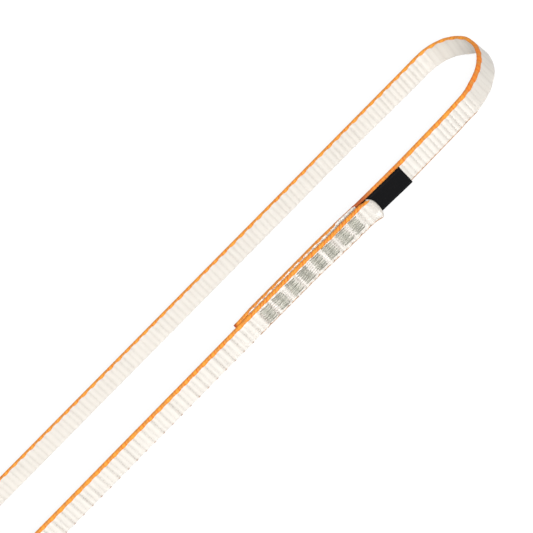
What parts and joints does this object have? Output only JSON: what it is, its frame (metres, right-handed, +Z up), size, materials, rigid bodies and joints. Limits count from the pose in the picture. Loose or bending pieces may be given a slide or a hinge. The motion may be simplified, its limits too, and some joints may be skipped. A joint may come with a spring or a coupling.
{
  "type": "climbing sling",
  "caption": "Open loop of narrow woven climbing tape with dyed selvedges, closed by an overlapped splice with zigzag bar tacks, a folded end and a small folded label.",
  "frame": {"origin": "middle of the bounding box, on the surface that the tape's lower selvedge stands on", "axes": "+X along the loop to the bend next to the splice, +Y to the rear run, +Z up across the tape's width"},
  "size_m": [0.5744, 0.0552, 0.011],
  "materials": {
    "woven_tape": "woven white polyethylene yarn, slightly waxy",
    "selvedge_yarn": "dyed orange polyamide yarn, twisted, satin",
    "needle_thread": "grey-beige twisted sewing thread, satin",
    "bobbin_thread": "grey-beige twisted sewing thread, satin",
    "woven_label": "finely woven matt black polyester"
  },
  "bodies": {
    "sling": {"webbing": "woven_tape", "needle_thread_1": "needle_thread", "needle_thread_2": "needle_thread", "needle_thread_3": "needle_thread", "needle_thread_4": "needle_thread", "needle_thread_5": "needle_thread", "needle_thread_6": "needle_thread", "needle_thread_7": "needle_thread", "needle_thread_8": "needle_thread", "bobbin_thread_1": "bobbin_thread", "bobbin_thread_2": "bobbin_thread", "bobbin_thread_3": "bobbin_thread", "bobbin_thread_4": "bobbin_thread", "bobbin_thread_5": "bobbin_thread", "bobbin_thread_6": "bobbin_thread", "bobbin_thread_7": "bobbin_thread", "bobbin_thread_8": "bobbin_thread", "label_root": "woven_label"},
    "label": {"label_flap": "woven_label"}
  },
  "joints": [
    {"name": "label_bend", "type": "hinge", "parent": "sling", "child": "label", "pos_m": [0.20228, -0.0226, 0.0055], "axis": [0, 0, -1], "range_deg": [0, 90], "stiffness_Nm_per_rad": 0.0001}
  ]
}
